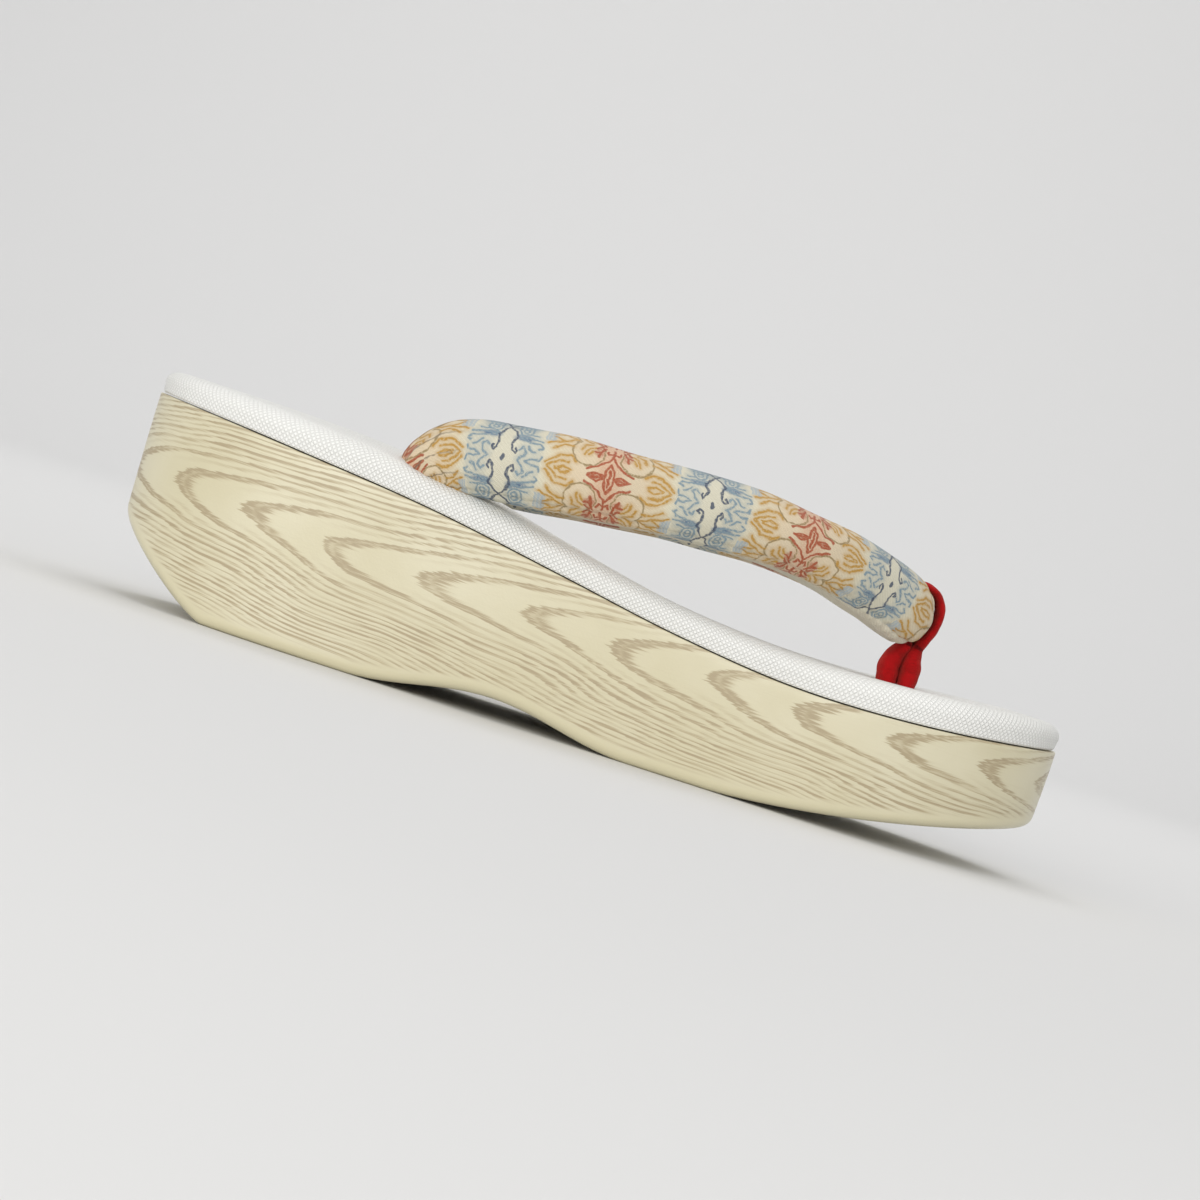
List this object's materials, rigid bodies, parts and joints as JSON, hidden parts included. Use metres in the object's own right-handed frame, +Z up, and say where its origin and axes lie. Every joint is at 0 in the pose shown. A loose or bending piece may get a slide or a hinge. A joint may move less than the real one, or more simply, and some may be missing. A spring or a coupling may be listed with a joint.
{
  "type": "thick-soled zori sandal",
  "caption": "Zori sandal with a thick moulded sole, printed wood-grain sides, padded white top, fat patterned cloth V strap and a velvet toe thong.",
  "frame": {"origin": "on the ground, under the middle of the sandal's length and width", "axes": "+X to the toe, +Y to the left of someone facing the toe, +Z up"},
  "size_m": [0.2406, 0.0888, 0.0713],
  "materials": {
    "sole_wrap": "cream moulded wrap with a printed taupe wood grain, satin gloss",
    "footbed_cover": "white soft vinyl with a fine embossed mesh",
    "strap_cloth": "ivory woven cloth with blue and ochre scroll bands, stuffed",
    "thong_velvet": "bright red velvet"
  },
  "bodies": {
    "root": {"sole": "sole_wrap", "footbed": "footbed_cover", "hanao_strap": "strap_cloth", "toe_thong": "thong_velvet"}
  },
  "joints": []
}
